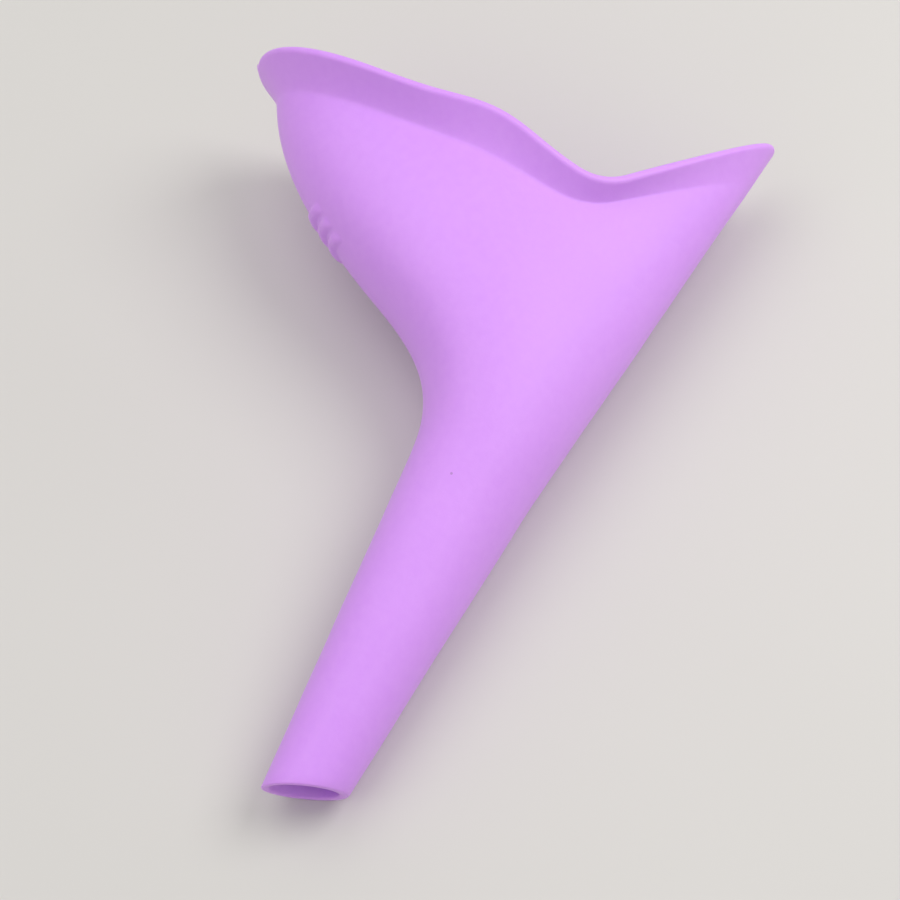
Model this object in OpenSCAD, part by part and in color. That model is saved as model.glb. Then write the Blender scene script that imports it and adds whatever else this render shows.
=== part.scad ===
// Stand-up urination funnel: one soft silicone moulding, lying on its side.
// A wide teardrop cup with an out-turned sealing lip narrows to a straight, tapered spout with a slanted tip.
// The funnel is one piece. Each node is one region of it, and the regions meet face to face.
// The shape is worked out along its spout axis: x runs from the outlet to the mouth, y runs forward from
// the axis, and z runs across the width. lying() then tilts and rolls it onto the table.

/* [Spout] */
// Diameter of the straight bore in the outlet
bore_d = 14.8; // [10:0.2:22]
// Wall thickness at the tip
tip_wall = 1.9; // [1.4:0.1:3]
// Length of the outlet ring, which holds the straight bore
ring_len = 14; // [10:1:30]
// Slant of the cut across the tip in degrees, which leaves the front side longer
tip_slant = 22; // [0:1:30]
// Distance from the tip to the throat, where the cup begins
throat_x = 83.5; // [50:0.5:110]
// Outside diameter of the throat
throat_d = 31.2; // [24:0.2:38]

/* [Cup and mouth] */
// Distance along the axis from the tip to the front of the lip
mouth_x = 158; // [125:0.5:190]
// Reach of the lip in front of the axis
front_reach = 98; // [70:0.5:120]
// Reach of the tail behind the axis
tail_reach = 29; // [20:1:40]
// How far the tail stands beyond the front of the lip
tail_rise = 39.5; // [20:0.5:60]
// Full width of the mouth across the lip
mouth_w = 55; // [44:1:70]
// Reach in front of the axis at which the rim turns up towards the tail
dip_reach = 2; // [-6:1:14]
// Length of the rounding on each side of that turn
dip_round = 8; // [4:1:20]
// Height of the low crest of the rim in front of the dip
crest = 4; // [0:0.5:5]
// How much narrower the tail of the mouth is than its front
teardrop = 0.46; // [0:0.02:0.5]
// How much the end of the tail rounds out from a plain teardrop, as a multiple of the teardrop
tail_round = 1; // [0:0.1:1.6]

/* [Lip and wall] */
// Wall thickness of the cup
wall = 2; // [1.6:0.1:3]
// Thickness of the rounded edge of the lip
edge_t = 2.4; // [2:0.1:3.6]
// Flare of the lip beyond the sides of the cup
lip_flare = 6.5; // [4:0.5:10]
// Flare of the lip beyond the front of the cup
lip_front = 8.5; // [5:0.5:12]
// Height of the lip above the cup, along the axis
lip_rise = 5; // [3:0.5:9]
// Length of the lip at the tail, along the axis
lip_tail = 12; // [6:0.5:16]
// Height of the moulding nub at the front of the lip
nub = 1.2; // [0:0.1:2]

/* [Grip ribs] */
// Number of ribs across the front of the cup
ribs = 3; // [2:1:5]
// Height of the ribs
rib_h = 1.1; // [0.6:0.1:2]
// Place of the middle rib, as a share of the cup's depth from the throat
rib_place = 0.66; // [0.4:0.02:0.8]

/* [Lying] */
// Roll of the funnel towards its tail as it lies at rest, in degrees
roll = 9; // [4:0.25:16]

/* [Model] */
// Points around each ring of the cup and lip
around = 72; // [48:12:96]
// Part to show

/* [Hidden] */
silicone = [0.80, 0.58, 0.95];
$fn = 96;
bore_r = bore_d / 2;
tip_r = bore_r + tip_wall;
throat_r = throat_d / 2;
half_w = mouth_w / 2;
// Slope of the spout's outside, which the cup's front carries on from
spout_slope = (throat_r - tip_r) / throat_x;
// Belly of the cup's front: how far along the axis it carries on from the spout, and where it swings out,
// as shares of the way from the throat to the crease
belly_start = 0.55;
belly_swing = [0.405, 0.675];
// Place and width of the rim's crest, as shares of the run from the dip to the front
crest_place = 0.32;
crest_width = 0.16;
// Share of the lip's teardrop and crest that the cup already has at the crease
crease_teardrop = 0.85;
crease_crest = 0.3;
cup_rings = 24;
lip_rings = 5;
edge_rings = 4;
// Steps across one grid cell of the cup in a rib, and half of a rib's length in those steps
rib_steps = 6;
rib_reach = 20;
first_rib = round(cup_rings * rib_place) - floor(ribs / 2);

// How much lower the crease runs at the front and higher at the dip, and its set-in towards the front there
crease_step = 1;
crease_shift = 2.5;
// How late the lip flares: 1 is a straight flare
flare_power = 1.25;

// Rim of the lip and crease under it: front end, turning point and tail end in the middle plane
rim_front = [mouth_x, front_reach];
rim_turn = [mouth_x, dip_reach];
rim_tail = [mouth_x + tail_rise, -tail_reach];
throat_front = [throat_x, throat_r];
throat_back = [throat_x, -throat_r];
back_dir = unit(rim_tail - throat_back);
crease_front = rim_front - [lip_rise + crease_step, lip_front];
crease_turn = rim_turn - [lip_rise - crease_step, -crease_shift];
crease_tail = rim_tail - back_dir * lip_tail;
crease_w = half_w - lip_flare;
// Share of a ring's chord at which the ring turns
turn_share = (crease_front[1] - crease_turn[1]) / (crease_front[1] - crease_tail[1]);

function unit(v) = v / norm(v);
function mix(a, b, t) = a + (b - a) * t;
function flatten(rows) = [for (row = rows) each row];
function bezier(a, b, c, d, t) =
    a * pow(1 - t, 3) + b * 3 * t * pow(1 - t, 2) + c * 3 * t * t * (1 - t) + d * pow(t, 3);

// A ring is [front, turn, back, rounding, half width, teardrop, crest]
function cup_ring(t) =
    let (
        span = crease_front - throat_front,
        front = bezier(
            throat_front,
            throat_front + span[0] * belly_start * [1, spout_slope],
            throat_front + [span[0] * belly_swing[0], span[1] * belly_swing[1]],
            crease_front,
            t
        ),
        back = mix(throat_back, crease_tail, t),
        straight = mix(front, back, turn_share),
        bend = crease_turn - mix(crease_front, crease_tail, turn_share)
    )
    [front, straight + bend * t * t, back, dip_round,
     mix(throat_r, crease_w, sin(90 * t)), teardrop * crease_teardrop * t, crest * crease_crest * t * t];

function lip_ring(u) =
    let (low = cup_ring(1), flare = pow(u, flare_power))
    [[mix(low[0][0], rim_front[0], u), mix(low[0][1], rim_front[1], flare)],
     mix(low[1], rim_turn, u), mix(low[2], rim_tail, u), dip_round,
     mix(crease_w, half_w, flare), mix(low[5], teardrop, u), mix(low[6], crest, u)];

// Point in the middle plane at share v of a ring's way from its front to its back
function way(ring, v) =
    let (
        a = ring[0],
        c = ring[1],
        b = ring[2],
        run_a = norm(c - a),
        run_b = norm(b - c),
        dir_a = (c - a) / run_a,
        dir_b = (b - c) / run_b,
        g = min(ring[3], run_a / 2, run_b / 2),
        s = v * (run_a + run_b) - run_a,
        q = (s + g) / (2 * g),
        hump = ring[6] * exp(-pow((s / run_a + crest_place) / crest_width, 2))
    )
    [hump, 0] + (
        s < -g ? c + dir_a * s :
        s > g ? c + dir_b * s :
        (c - dir_a * g) * pow(1 - q, 2) + c * 2 * q * (1 - q) + (c + dir_b * g) * q * q
    );

// Widest value of sin(a) * (1 + k * cos(a)), which scales a teardrop to its full half width
function fullness(k) =
    k < 0.01 ? 1 :
    let (c = (sqrt(1 + 8 * k * k) - 1) / (4 * k))
    sqrt(1 - c * c) * (1 + k * c);

function ring_points(ring) = [
    for (j = [0 : around - 1])
        let (
            a = 360 * j / around,
            v = (1 - cos(a)) / 2,
            p = way(ring, v),
            tail = 1 + tail_round * ring[5] * pow(v, 8),
            w = ring[4] * tail * sin(a) * (1 + ring[5] * cos(a)) / fullness(ring[5])
        )
        [p[0], p[1], w]
];

outer = [
    for (i = [0 : cup_rings]) ring_points(cup_ring(i / cup_rings)),
    for (i = [1 : lip_rings]) ring_points(lip_ring(i / lip_rings))
];
last = len(outer) - 1;

// Outward normal of the outer skin at a grid point; at the throat it is square to the axis
function skin_normal(i, j) =
    i == 0 ? [0, cos(360 * j / around), sin(360 * j / around)] :
    unit(cross(
        outer[i][(j + 1) % around] - outer[i][(j + around - 1) % around],
        outer[min(i + 1, last)][j] - outer[i - 1][j]
    ));

function wall_at(i) = i <= cup_rings ? wall : mix(wall, edge_t, (i - cup_rings) / lip_rings);

inner = [
    for (i = [0 : last])
        [for (j = [0 : around - 1]) outer[i][j] - skin_normal(i, j) * wall_at(i)]
];

// Half-round edge of the lip, from the outer skin over to the inner one
edge = [
    for (k = [1 : edge_rings - 1]) [
        for (j = [0 : around - 1])
            let (
                n = skin_normal(last, j),
                out = unit(outer[last][j] - outer[last - 1][j]),
                a = 180 * k / edge_rings,
                tip = j == 0 && k == edge_rings / 2 ? nub : 0
            )
            (outer[last][j] + inner[last][j]) / 2
                + (n * cos(a) + out * sin(a)) * edge_t / 2 + out * tip
    ]
];

function rows(skin, a, b) = [for (i = [a : a < b ? 1 : -1 : b]) skin[i]];

// Closed wall swept through a loop of rings
module ring_wall(loop, flip = false) {
    m = len(loop);
    faces = [
        for (i = [0 : m - 1], j = [0 : around - 1])
            let (
                p = i * around + j,
                q = (i + 1) % m * around + j,
                r = (i + 1) % m * around + (j + 1) % around,
                s = i * around + (j + 1) % around
            )
            each flip ? [[p, r, q], [p, s, r]] : [[p, q, r], [p, r, s]]
    ];
    polyhedron(points = flatten(loop), faces = faces, convexity = 8);
}

// ---------------------------------------------------------------- lying on the table
// The funnel rests on its tip and its lip, so the tilt is the one at which both are equally low
lip_points = flatten(concat(rows(outer, cup_rings, last), edge));
tip_rim = [
    for (a = [0 : 2 : 358])
        [-tip_r * cos(a) * tan(tip_slant), tip_r * cos(a), tip_r * sin(a)]
];

function lay_down(p, tilt) =
    let (up = p[1] * sin(roll) + p[2] * cos(roll))
    [
        p[0] * cos(tilt) - up * sin(tilt),
        p[1] * cos(roll) - p[2] * sin(roll),
        p[0] * sin(tilt) + up * cos(tilt)
    ];
function lowest(points, tilt) = min([for (p = points) lay_down(p, tilt)[2]]);
function tilt_between(a, b, steps) =
    let (mid = (a + b) / 2)
    steps == 0 ? mid :
    lowest(lip_points, mid) > lowest(tip_rim, mid) ? tilt_between(a, mid, steps - 1) :
    tilt_between(mid, b, steps - 1);
tilt = tilt_between(0, 15, 16);

lying_points = [for (p = concat(flatten(outer), flatten(edge), tip_rim)) lay_down(p, tilt)];
low = [for (k = [0 : 2]) min([for (p = lying_points) p[k]])];
high = [for (k = [0 : 2]) max([for (p = lying_points) p[k]])];

module lying() {
    translate([-(low[0] + high[0]) / 2, -(low[1] + high[1]) / 2, -low[2]])
        rotate([0, -tilt, 0])
            rotate([roll, 0, 0])
                children();
}

// Cone along the axis from x = a to x = b
module cone(a, b, ra, rb) {
    translate([a, 0, 0])
        rotate([0, 90, 0])
            cylinder(h = b - a, r1 = ra, r2 = rb);
}

// ---------------------------------------------------------------- regions of the moulding
module outlet_ring() {
    cut = tip_r * 4;
    over = tip_r * tan(tip_slant);
    color(silicone)
        lying()
            difference() {
                cone(-over, ring_len, tip_r - over * spout_slope, tip_r + ring_len * spout_slope);
                cone(-over - 1, ring_len + 1, bore_r, bore_r);
                rotate([0, 0, tip_slant])
                    translate([-cut, -cut / 2, -cut / 2])
                        cube(cut);
            }
}

module spout_tube() {
    ring_r = tip_r + ring_len * spout_slope;
    color(silicone)
        lying()
            difference() {
                cone(ring_len, throat_x, ring_r, throat_r);
                cone(ring_len, throat_x, bore_r, throat_r - wall);
            }
}

module cup_shell() {
    color(silicone)
        lying()
            ring_wall(concat(rows(outer, 0, cup_rings), rows(inner, cup_rings, 0)));
}

module sealing_lip() {
    color(silicone)
        lying()
            ring_wall(
                concat(
                    rows(inner, cup_rings, last),
                    rows(edge, edge_rings - 2, 0),
                    rows(outer, last, cup_rings)
                ),
                flip = true
            );
}

// Closed slab between two grids of points
module slab(under, over) {
    m = len(under);
    n = len(under[0]);
    top = m * n;
    function at(i, j) = i * n + j;
    skin = [
        for (i = [0 : m - 2], j = [0 : n - 2])
            each [
                [at(i, j), at(i + 1, j), at(i + 1, j + 1)],
                [at(i, j), at(i + 1, j + 1), at(i, j + 1)]
            ]
    ];
    rim = concat(
        [for (j = [0 : n - 2]) at(0, j)],
        [for (i = [0 : m - 2]) at(i, n - 1)],
        [for (j = [n - 1 : -1 : 1]) at(m - 1, j)],
        [for (i = [m - 1 : -1 : 1]) at(i, 0)]
    );
    sides = [
        for (k = [0 : len(rim) - 1])
            let (p = rim[k], q = rim[(k + 1) % len(rim)])
            each [[p, p + top, q + top], [p, q + top, q]]
    ];
    polyhedron(
        points = concat(flatten(under), flatten(over)),
        faces = concat(
            [for (f = skin) [f[2], f[1], f[0]]],
            [for (f = skin) [f[0] + top, f[1] + top, f[2] + top]],
            sides
        ),
        convexity = 4
    );
}

// Plain raised ribs across the front of the cup, one to each row of its grid, seated on its flat facets
module grip_ribs() {
    columns = [for (c = [-rib_reach : rib_reach]) c + rib_steps * around];
    function cell(i, c) = let (j = floor(c / rib_steps)) [j % around, (j + 1) % around];
    function seat(i, a, c) =
        let (
            b = (c % rib_steps) / rib_steps,
            j = cell(i, c),
            p = outer[i][j[0]],
            q = outer[i + 1][j[0]],
            r = outer[i + 1][j[1]],
            s = outer[i][j[1]]
        )
        a >= b ? p + (q - p) * a + (r - q) * b : p + (s - p) * b + (r - s) * a;
    function lift(i, a, c) =
        let (
            b = (c % rib_steps) / rib_steps,
            j = cell(i, c),
            n = unit(mix(skin_normal(i, j[0]), skin_normal(i, j[1]), b)),
            across = 1 - pow((a - 0.5) * 3, 2),
            along = 1 - pow((c - rib_steps * around) / rib_reach, 4),
            foot = 0.2
        )
        n * (foot + (rib_h - foot) * sqrt(max(0, across * along)));
    color(silicone)
        lying()
            for (i = [first_rib : first_rib + ribs - 1]) {
                steps = [for (k = [1 : rib_steps - 1]) k / rib_steps];
                under = [for (a = steps) [for (c = columns) seat(i, a, c)]];
                over = [for (a = steps) [for (c = columns) seat(i, a, c) + lift(i, a, c)]];
                slab(under, over);
            }
}

outlet_ring();
spout_tube();
cup_shell();
grip_ribs();
sealing_lip();
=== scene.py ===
"""A soft silicone stand-up urination funnel lying on its side on a plain pale floor.

The CAD nodes are regions of one moulding, so one seamless skin replaces them all. The skin follows the same
rings as the CAD, on a finer grid, and adds the crease's small fillet, the moulding's parting line and nub,
soft grip ribs, and the slight unevenness of a part that was moulded soft.
"""

import math

import bpy
import numpy as np
from mathutils import Matrix, Vector


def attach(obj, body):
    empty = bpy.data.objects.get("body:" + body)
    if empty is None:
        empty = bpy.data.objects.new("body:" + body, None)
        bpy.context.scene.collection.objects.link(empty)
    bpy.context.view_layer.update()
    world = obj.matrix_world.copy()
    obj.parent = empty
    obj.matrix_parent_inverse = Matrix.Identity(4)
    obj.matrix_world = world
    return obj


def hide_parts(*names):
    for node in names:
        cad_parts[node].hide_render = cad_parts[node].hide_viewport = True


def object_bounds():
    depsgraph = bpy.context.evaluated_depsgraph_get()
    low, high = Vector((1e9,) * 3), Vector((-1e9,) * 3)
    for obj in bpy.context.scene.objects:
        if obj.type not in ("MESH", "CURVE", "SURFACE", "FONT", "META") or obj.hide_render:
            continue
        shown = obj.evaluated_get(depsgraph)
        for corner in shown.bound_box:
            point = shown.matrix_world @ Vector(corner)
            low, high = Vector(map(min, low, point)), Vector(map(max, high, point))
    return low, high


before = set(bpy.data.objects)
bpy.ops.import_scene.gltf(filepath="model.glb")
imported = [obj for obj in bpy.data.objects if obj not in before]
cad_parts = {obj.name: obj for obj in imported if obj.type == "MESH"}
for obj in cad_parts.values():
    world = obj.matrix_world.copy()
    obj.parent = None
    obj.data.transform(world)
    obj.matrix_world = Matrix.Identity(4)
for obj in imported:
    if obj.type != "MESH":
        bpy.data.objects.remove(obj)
CAD_BOX = [list(map(float, corner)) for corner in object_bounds()]

# ------------------------------------------------------------------ driving values, as in the CAD
# Lengths and reaches are in mm and angles in radians. The rest are shares and counts.
TIP_R = 9.3
BORE_R = 7.4
RING_LEN = 14.0
TIP_SLANT = math.radians(22)
THROAT_X = 83.5
THROAT_R = 15.6
MOUTH_X = 158.0
FRONT_REACH = 98.0
TAIL_REACH = 29.0
TAIL_RISE = 39.5
HALF_W = 27.5
DIP_REACH = 2.0
DIP_ROUND = 8.0
CREST = 4.0
TEARDROP = 0.46
TAIL_ROUND = 1.0
WALL = 2.0
EDGE_T = 2.4
LIP_FLARE = 6.5
LIP_FRONT = 8.5
LIP_RISE = 5.0
LIP_TAIL = 12.0
NUB = 1.2
ROLL = math.radians(9)
RIBS = 3
RIB_PLACE = 0.66
BELLY_START = 0.55
BELLY_SWING = (0.405, 0.675)
CREST_PLACE = 0.32
CREST_WIDTH = 0.16
CREASE_TEARDROP = 0.85
CREASE_CREST = 0.3
CREASE_STEP = 1.0
CREASE_SHIFT = 2.5
FLARE_POWER = 1.25
SPOUT_SLOPE = (THROAT_R - TIP_R) / THROAT_X

# ------------------------------------------------------------------ grid of the skin
AROUND = 240
SPOUT_ROWS = 34
CUP_ROWS = 192
LIP_ROWS = 26
EDGE_ROWS = 9
TIP_ROWS = 5
OUTER_ROWS = SPOUT_ROWS + CUP_ROWS + 1 + LIP_ROWS

# The CAD's rows of facets on the cup, the share of a row that a rib fills, and half of a rib's length
CAD_CUP_ROWS = 24
RIB_SHARE = 2 / 3
RIB_HALF_ANGLE = math.radians(50 / 3)

# ------------------------------------------------------------------ detail of the skin, in mm
# The ribs stand a little lower than in the CAD
RIB_H = 1.0
NUB_WIDTH = 1.0
# Rounding of the outlet's end, and the share of the spout over which its inside joins the cup's
TIP_ROUND = 0.5
INNER_JOIN = 0.3
# Height and width of the parting line, and the distance over which it comes and goes
PARTING_H = 0.14
PARTING_W = 0.55
PARTING_WAVE = 22.0
# Unevenness of the moulding: height, wavelength and seed
BROAD_WAVES = (0.08, 46.0, 11)
SHORT_WAVES = (0.025, 15.0, 12)
# The relief fades out over a twelfth of the rows at the outlet, the parting line over a thirtieth at the rim
OUTLET_FADE = 12
RIM_FADE = 30
# Fillets: rows before and after, and passes
THROAT_FILLET = (5, 14, 30)
CREASE_FILLET = (4, 4, 2)

# ------------------------------------------------------------------ camera, in degrees and metres
CAMERA_FOV = 24.0
CAMERA_AZIMUTH = -52.83
CAMERA_ELEVATION = 61.66
CAMERA_ROLL = -10.86
CAMERA_DISTANCE = 0.5054
CAMERA_TARGET = (-0.0101, -0.0279, 0.02)


def vec(x, y):
    return np.array([x, y], float)


def mix(a, b, t):
    return a + (b - a) * t


RIM_FRONT = vec(MOUTH_X, FRONT_REACH)
RIM_TURN = vec(MOUTH_X, DIP_REACH)
RIM_TAIL = vec(MOUTH_X + TAIL_RISE, -TAIL_REACH)
THROAT_FRONT = vec(THROAT_X, THROAT_R)
THROAT_BACK = vec(THROAT_X, -THROAT_R)
BACK_DIR = (RIM_TAIL - THROAT_BACK) / np.linalg.norm(RIM_TAIL - THROAT_BACK)
CREASE_FRONT = RIM_FRONT - vec(LIP_RISE + CREASE_STEP, LIP_FRONT)
CREASE_TURN = RIM_TURN - vec(LIP_RISE - CREASE_STEP, -CREASE_SHIFT)
CREASE_TAIL = RIM_TAIL - BACK_DIR * LIP_TAIL
CREASE_W = HALF_W - LIP_FLARE
TURN_SHARE = (CREASE_FRONT[1] - CREASE_TURN[1]) / (CREASE_FRONT[1] - CREASE_TAIL[1])


# ------------------------------------------------------------------ rings
def bezier(a, b, c, d, t):
    return a * (1 - t) ** 3 + b * 3 * t * (1 - t) ** 2 + c * 3 * t * t * (1 - t) + d * t**3


def cup_ring(t):
    """A ring: its front, turn and back, and its half width, teardrop and crest."""
    span = CREASE_FRONT - THROAT_FRONT
    front = bezier(
        THROAT_FRONT,
        THROAT_FRONT + span[0] * BELLY_START * vec(1, SPOUT_SLOPE),
        THROAT_FRONT + span * BELLY_SWING,
        CREASE_FRONT,
        t,
    )
    back = mix(THROAT_BACK, CREASE_TAIL, t)
    bend = CREASE_TURN - mix(CREASE_FRONT, CREASE_TAIL, TURN_SHARE)
    turn = mix(front, back, TURN_SHARE) + bend * t * t
    width = mix(THROAT_R, CREASE_W, math.sin(t * math.pi / 2))
    return front, turn, back, width, TEARDROP * CREASE_TEARDROP * t, CREST * CREASE_CREST * t * t


def lip_ring(u):
    """A ring of the lip, from the crease at 0 to the rim at 1."""
    front, turn, back, width, teardrop, crest = cup_ring(1)
    flare = u**FLARE_POWER
    return (
        vec(mix(front[0], RIM_FRONT[0], u), mix(front[1], RIM_FRONT[1], flare)),
        mix(turn, RIM_TURN, u),
        mix(back, RIM_TAIL, u),
        mix(width, HALF_W, flare),
        mix(teardrop, TEARDROP, u),
        mix(crest, CREST, u),
    )


def fullness(k):
    """Widest value of sin(a) * (1 + k * cos(a)), which scales a teardrop to its full half width."""
    if k < 0.01:
        return 1.0
    c = (math.sqrt(1 + 8 * k * k) - 1) / (4 * k)
    return math.sqrt(1 - c * c) * (1 + k * c)


ANGLE = np.arange(AROUND) * 2 * math.pi / AROUND


def ring_points(ring):
    front, turn, back, width, teardrop, crest = ring
    run_a = np.linalg.norm(turn - front)
    run_b = np.linalg.norm(back - turn)
    dir_a = (turn - front) / run_a
    dir_b = (back - turn) / run_b
    g = min(DIP_ROUND, run_a / 2, run_b / 2)
    share = (1 - np.cos(ANGLE)) / 2
    s = share * (run_a + run_b) - run_a
    q = ((s + g) / (2 * g))[:, None]
    bend = (turn - dir_a * g) * (1 - q) ** 2 + turn * 2 * q * (1 - q) + (turn + dir_b * g) * q * q
    way = np.where(
        (s < -g)[:, None],
        turn + dir_a * s[:, None],
        np.where((s > g)[:, None], turn + dir_b * s[:, None], bend),
    )
    hump = crest * np.exp(-(((s / run_a + CREST_PLACE) / CREST_WIDTH) ** 2))
    tail = 1 + TAIL_ROUND * teardrop * share**8
    z = width * tail * np.sin(ANGLE) * (1 + teardrop * np.cos(ANGLE)) / fullness(teardrop)
    return np.stack([way[:, 0] + hump, way[:, 1], z], axis=1)


def spout_row(share, radius_of, start):
    """A row of the spout at a share of the way from the slanted tip to the throat."""
    x = start + (THROAT_X - start) * share
    r = radius_of(x)
    return np.stack([x, r * np.cos(ANGLE), r * np.sin(ANGLE)], axis=1)


def outside(x):
    return TIP_R + x * SPOUT_SLOPE


def inside(x):
    share = np.clip((x - RING_LEN) / (THROAT_X - RING_LEN), 0, 1)
    return BORE_R + (THROAT_R - WALL - BORE_R) * share


def unit(v):
    return v / np.linalg.norm(v, axis=-1, keepdims=True)


def normals(grid):
    """Outward normals of a skin of rows, closed around each row."""
    across = np.roll(grid, -1, axis=1) - np.roll(grid, 1, axis=1)
    along = np.gradient(grid, axis=0)
    return unit(np.cross(across, along))


def soften(grid, row, fillet):
    """Rounds the skin along its rows on both sides of one, which turns a sharp crease into a fillet."""
    before, after, passes = fillet
    first, last = row - before, row + after
    grid = grid.copy()
    for _ in range(passes):
        middle = grid[first : last + 1]
        around = (grid[first - 1 : last] + grid[first + 1 : last + 2]) / 2
        fade = np.sin(np.linspace(0, math.pi, last - first + 1))[:, None, None]
        grid[first : last + 1] = middle + (around - middle) * 0.5 * fade
    return grid


# ------------------------------------------------------------------ relief of the skin
def waves(points, size, seed):
    """Smooth pseudo-random waves over the points, about 1 high, with the given wavelength."""
    count = 10
    rng = np.random.default_rng(seed)
    total = np.zeros(points.shape[:2])
    for _ in range(count):
        direction = rng.normal(size=3)
        direction *= 2 * math.pi / size * rng.uniform(0.6, 1.4) / np.linalg.norm(direction)
        total += np.sin(points @ direction + rng.uniform(0, 2 * math.pi))
    return total / math.sqrt(count / 2)


def rib_relief():
    """Plain rounded ribs across the front of the cup, one to each of the CAD's rows of facets."""
    row = (np.arange(OUTER_ROWS) - SPOUT_ROWS) * CAD_CUP_ROWS / CUP_ROWS
    first = round(CAD_CUP_ROWS * RIB_PLACE) - RIBS // 2
    on_ribs = (row > first) & (row < first + RIBS)
    across = np.where(on_ribs, 1 - ((row % 1 - 0.5) * 2 / RIB_SHARE) ** 2, 0).clip(0)
    from_front = (ANGLE + math.pi) % (2 * math.pi) - math.pi
    along = (1 - (from_front / RIB_HALF_ANGLE) ** 4).clip(0)
    return np.sqrt(across[:, None] * along[None, :])


def parting_relief(points, rows):
    """The thin parting line left by the mould along the middle plane."""
    line = np.exp(-((points[..., 2] / PARTING_W) ** 2))
    broken = 0.65 + 0.35 * waves(points, PARTING_WAVE, seed=5)
    return line * np.clip(broken, 0.15, 1.2) * rows[:, None]


def build_skin():
    """The whole skin as a loop of rows: outside, lip edge, inside, and the outlet's end."""
    start_out = -TIP_R * np.cos(ANGLE) * math.tan(TIP_SLANT)
    start_in = -BORE_R * np.cos(ANGLE) * math.tan(TIP_SLANT)
    spout = [
        spout_row(k / SPOUT_ROWS, outside, start_out + TIP_ROUND * (1 - k / SPOUT_ROWS))
        for k in range(SPOUT_ROWS)
    ]
    cup = [ring_points(cup_ring(k / CUP_ROWS)) for k in range(CUP_ROWS + 1)]
    lip = [ring_points(lip_ring(k / LIP_ROWS)) for k in range(1, LIP_ROWS + 1)]
    outer = np.array(spout + cup + lip)
    crease = SPOUT_ROWS + CUP_ROWS
    outer = soften(outer, SPOUT_ROWS, THROAT_FILLET)
    outer = soften(outer, crease, CREASE_FILLET)

    # The inner skin is offset from the plain outer one, so that relief stays on the outside
    thick = np.full(len(outer), WALL)
    thick[crease:] = np.linspace(WALL, EDGE_T, LIP_ROWS + 1)
    inner = outer - normals(outer) * thick[:, None, None]
    for k in range(SPOUT_ROWS + 1):
        share = k / SPOUT_ROWS
        plain = spout_row(share, inside, start_in + TIP_ROUND * (1 - share))
        joined = max(0.0, (share - (1 - INNER_JOIN)) / INNER_JOIN)
        inner[k] = mix(plain, inner[k], joined)

    # Slight unevenness of a soft moulding, the parting line and the ribs
    skin_normal = normals(outer)
    at = np.arange(len(outer)) / len(outer)
    relief = np.zeros(outer.shape[:2])
    for height, size, seed in (BROAD_WAVES, SHORT_WAVES):
        relief += height * waves(outer, size, seed)
    relief *= np.clip(at * OUTLET_FADE, 0, 1)[:, None]
    relief += PARTING_H * parting_relief(outer, np.clip((1 - at) * RIM_FADE, 0, 1))
    relief += RIB_H * rib_relief()
    outer = outer + skin_normal * relief[..., None]

    # Half-round edge of the lip, with the nub at its front
    n = unit(outer[-1] - inner[-1])
    out = unit(outer[-1] - outer[-3])
    out = unit(out - n * np.sum(out * n, axis=1, keepdims=True))
    middle = (outer[-1] + inner[-1]) / 2
    half = np.linalg.norm(outer[-1] - inner[-1], axis=1, keepdims=True) / 2
    spike = NUB * np.exp(-((outer[-1][:, 2] / NUB_WIDTH) ** 2)) * (np.cos(ANGLE) > 0)
    edge = []
    for k in range(1, EDGE_ROWS):
        a = math.pi * k / EDGE_ROWS
        bead = middle + (n * math.cos(a) + out * math.sin(a)) * half
        edge.append(bead + out * (spike * math.sin(a) ** 2)[:, None])

    # Rounded end of the outlet, from the bore over to the outside
    tip_a, tip_b = inner[0], outer[0]
    tip_mid = (tip_a + tip_b) / 2
    tip_n = (tip_b - tip_a) / 2
    tip_out = np.array([-TIP_ROUND, 0.0, 0.0])
    tip = []
    for k in range(1, TIP_ROWS):
        a = math.pi * k / TIP_ROWS
        tip.append(tip_mid - tip_n * math.cos(a) + tip_out * math.sin(a) ** 0.6)
    return np.concatenate([outer, np.array(edge), inner[::-1], np.array(tip)])


# ------------------------------------------------------------------ lying on the table
def lay_down(points, tilt):
    up = points[..., 1] * math.sin(ROLL) + points[..., 2] * math.cos(ROLL)
    side = points[..., 1] * math.cos(ROLL) - points[..., 2] * math.sin(ROLL)
    x = points[..., 0] * math.cos(tilt) - up * math.sin(tilt)
    z = points[..., 0] * math.sin(tilt) + up * math.cos(tilt)
    return np.stack([x, side, z], axis=-1)


def resting_tilt(points):
    """The tilt at which the tip and the lip touch the table together."""
    spout, mouth = points[:4], points[SPOUT_ROWS + CUP_ROWS : OUTER_ROWS + EDGE_ROWS]
    low, high = 0.0, math.radians(15)
    for _ in range(24):
        middle = (low + high) / 2
        if lay_down(mouth, middle)[..., 2].min() > lay_down(spout, middle)[..., 2].min():
            high = middle
        else:
            low = middle
    return (low + high) / 2


def to_frame(points):
    """Puts the lying skin, in mm, into the CAD's box, in metres."""
    laid = lay_down(points, resting_tilt(points)) / 1000
    low, high = laid.reshape(-1, 3).min(0), laid.reshape(-1, 3).max(0)
    box_low, box_high = np.array(CAD_BOX[0]), np.array(CAD_BOX[1])
    scale = np.minimum(1, (box_high - box_low) / (high - low))
    centre = (box_low + box_high) / 2
    laid = (laid - (low + high) / 2) * scale + centre
    laid[..., 2] += box_low[2] - laid[..., 2].min()
    return laid


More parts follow.
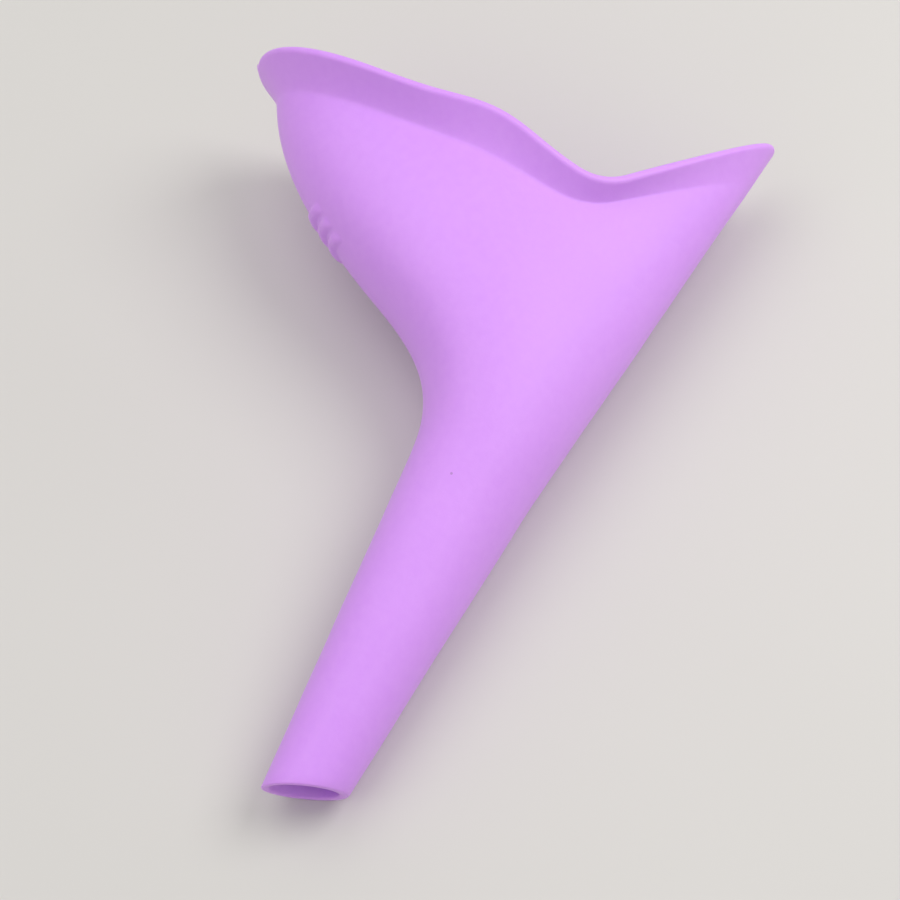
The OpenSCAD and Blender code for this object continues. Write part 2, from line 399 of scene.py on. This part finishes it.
def mesh_object(name, rows):
    """A closed skin swept through a loop of rows."""
    m, n = rows.shape[:2]
    i, j = np.meshgrid(np.arange(m), np.arange(n), indexing="ij")
    i2, j2 = (i + 1) % m, (j + 1) % n
    quads = np.stack([i * n + j, i * n + j2, i2 * n + j2, i2 * n + j], axis=-1).reshape(-1, 4)
    mesh = bpy.data.meshes.new(name)
    mesh.from_pydata(rows.reshape(-1, 3).tolist(), [], quads[:, ::-1].tolist())
    mesh.validate()
    mesh.update()
    for polygon in mesh.polygons:
        polygon.use_smooth = True
    piece = bpy.data.objects.new(name, mesh)
    bpy.context.scene.collection.objects.link(piece)
    return piece


# ------------------------------------------------------------------ materials
def new_material(name):
    material = bpy.data.materials.new(name)
    material.use_nodes = True
    nodes = material.node_tree.nodes
    nodes.clear()
    output = nodes.new("ShaderNodeOutputMaterial")
    shader = nodes.new("ShaderNodeBsdfPrincipled")
    material.node_tree.links.new(shader.outputs["BSDF"], output.inputs["Surface"])
    return material, shader


def add(material, kind, inputs=None, **settings):
    node = material.node_tree.nodes.new(kind)
    for key, value in settings.items():
        setattr(node, key, value)
    for key, value in (inputs or {}).items():
        if isinstance(value, bpy.types.NodeSocket):
            material.node_tree.links.new(value, node.inputs[key])
        else:
            node.inputs[key].default_value = value
    return node


def ramp(material, value, stops):
    node = add(material, "ShaderNodeValToRGB", {"Fac": value})
    elements = node.color_ramp.elements
    while len(elements) < len(stops):
        elements.new(0.5)
    for element, (position, colour) in zip(elements, stops):
        element.position = position
        element.color = (*colour, 1)
    return node.outputs["Color"]


def silicone():
    """Lilac silicone rubber: satin, slightly translucent, faintly mottled, with a few specks of dust."""
    material, shader = new_material("lilac_silicone")
    links = material.node_tree.links
    where = add(material, "ShaderNodeTexCoord").outputs["Object"]
    broad = add(material, "ShaderNodeTexNoise", {"Vector": where, "Scale": 14.0, "Detail": 2.0})
    fine = add(material, "ShaderNodeTexNoise", {"Vector": where, "Scale": 420.0, "Detail": 4.0})
    grain = add(material, "ShaderNodeTexNoise", {"Vector": where, "Scale": 2600.0, "Detail": 2.0})

    base = ramp(
        material,
        broad.outputs["Fac"],
        [(0.30, (0.690, 0.312, 0.930)), (0.70, (0.725, 0.340, 0.960))],
    )
    mottled = add(
        material,
        "ShaderNodeMix",
        {"Factor": 0.05, "A": base, "B": ramp(
            material,
            fine.outputs["Fac"],
            [(0.35, (0.52, 0.20, 0.78)), (0.65, (0.80, 0.46, 0.98))],
        )},
        data_type="RGBA",
    )
    specks = add(
        material, "ShaderNodeTexVoronoi", {"Vector": where, "Scale": 55.0, "Randomness": 1.0}
    )
    dot = add(
        material,
        "ShaderNodeMath",
        {0: specks.outputs["Distance"], 1: 0.018},
        operation="LESS_THAN",
    )
    colour = add(
        material,
        "ShaderNodeMix",
        {"Factor": dot.outputs["Value"], "A": mottled.outputs["Result"], "B": (0.50, 0.25, 0.66, 1)},
        data_type="RGBA",
    )
    links.new(colour.outputs["Result"], shader.inputs["Base Color"])

    rough = add(
        material,
        "ShaderNodeMapRange",
        {"Value": fine.outputs["Fac"], "From Min": 0.3, "From Max": 0.7, "To Min": 0.44, "To Max": 0.56},
    )
    links.new(rough.outputs["Result"], shader.inputs["Roughness"])
    bump = add(
        material,
        "ShaderNodeBump",
        {"Height": fine.outputs["Fac"], "Strength": 0.10, "Distance": 0.0004},
    )
    micro = add(
        material,
        "ShaderNodeBump",
        {
            "Height": grain.outputs["Fac"],
            "Strength": 0.10,
            "Distance": 0.00012,
            "Normal": bump.outputs["Normal"],
        },
    )
    links.new(micro.outputs["Normal"], shader.inputs["Normal"])
    shader.inputs["Subsurface Weight"].default_value = 0.20
    shader.inputs["Subsurface Radius"].default_value = (1.0, 0.7, 1.0)
    shader.inputs["Subsurface Scale"].default_value = 0.0015
    shader.inputs["Specular IOR Level"].default_value = 0.42
    shader.inputs["Sheen Weight"].default_value = 0.06
    shader.inputs["Sheen Roughness"].default_value = 0.5
    return material


def floor_paint():
    """Plain pale matt paint with a faint unevenness of tone."""
    material, shader = new_material("pale_floor")
    where = add(material, "ShaderNodeTexCoord").outputs["Object"]
    noise = add(material, "ShaderNodeTexNoise", {"Vector": where, "Scale": 3.0, "Detail": 3.0})
    tone = ramp(
        material, noise.outputs["Fac"], [(0.3, (0.66, 0.64, 0.61)), (0.7, (0.69, 0.67, 0.64))]
    )
    material.node_tree.links.new(tone, shader.inputs["Base Color"])
    shader.inputs["Roughness"].default_value = 0.75
    return material


# ------------------------------------------------------------------ the funnel
funnel = mesh_object("silicone_funnel", to_frame(build_skin()))
funnel.data.materials.append(silicone())
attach(funnel, "root")
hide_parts("outlet_ring", "spout_tube", "cup_shell", "grip_ribs", "sealing_lip")


# ------------------------------------------------------------------ floor, light and camera
def make_floor():
    size = 4.0
    mesh = bpy.data.meshes.new("floor")
    corners = [(-size, -size, 0), (size, -size, 0), (size, size, 0), (-size, size, 0)]
    mesh.from_pydata(corners, [], [(0, 1, 2, 3)])
    piece = bpy.data.objects.new("floor", mesh)
    bpy.context.scene.collection.objects.link(piece)
    piece.data.materials.append(floor_paint())


def aim(piece, position, target, roll=0.0):
    """Places a camera or light to look at the target, turned by roll about its line of sight."""
    away = (Vector(position) - Vector(target)).normalized()
    right = Vector((-away.y, away.x, 0)).normalized()
    up = away.cross(right)
    turned_right = right * math.cos(roll) + up * math.sin(roll)
    turned_up = -right * math.sin(roll) + up * math.cos(roll)
    axes = Matrix((turned_right, turned_up, away)).transposed().to_4x4()
    piece.matrix_world = Matrix.Translation(Vector(position)) @ axes


def on_sphere(target, azimuth, elevation, distance):
    """A point round the target: azimuth 0 is in front of it, at -Y."""
    a, e = math.radians(azimuth), math.radians(elevation)
    away = Vector((math.sin(a) * math.cos(e), -math.cos(a) * math.cos(e), math.sin(e)))
    return Vector(target) + away * distance


def add_camera():
    data = bpy.data.cameras.new("camera")
    data.sensor_width = 36
    data.angle = math.radians(CAMERA_FOV)
    data.clip_start = 0.01
    camera = bpy.data.objects.new("camera", data)
    bpy.context.scene.collection.objects.link(camera)
    position = on_sphere(CAMERA_TARGET, CAMERA_AZIMUTH, CAMERA_ELEVATION, CAMERA_DISTANCE)
    aim(camera, position, CAMERA_TARGET, math.radians(CAMERA_ROLL))
    bpy.context.scene.camera = camera


def add_light(name, azimuth, elevation, distance, size, power):
    data = bpy.data.lights.new(name, "AREA")
    data.shape = "DISK"
    data.size = size
    data.energy = power
    lamp = bpy.data.objects.new(name, data)
    bpy.context.scene.collection.objects.link(lamp)
    aim(lamp, on_sphere((0, 0, 0.02), azimuth, elevation, distance), (0, 0, 0.02))


make_floor()
add_camera()
add_light("key", 42, 50, 1.0, 0.6, 4.0)
add_light("fill", -125, 50, 1.2, 1.0, 1.3)
add_light("top", 165, 70, 1.3, 1.2, 3.6)

world = bpy.data.worlds.new("studio")
world.use_nodes = True
background = world.node_tree.nodes["Background"]
background.inputs["Color"].default_value = (1, 1, 1, 1)
background.inputs["Strength"].default_value = 0.55
bpy.context.scene.world = world
bpy.context.scene.view_settings.view_transform = "Standard"
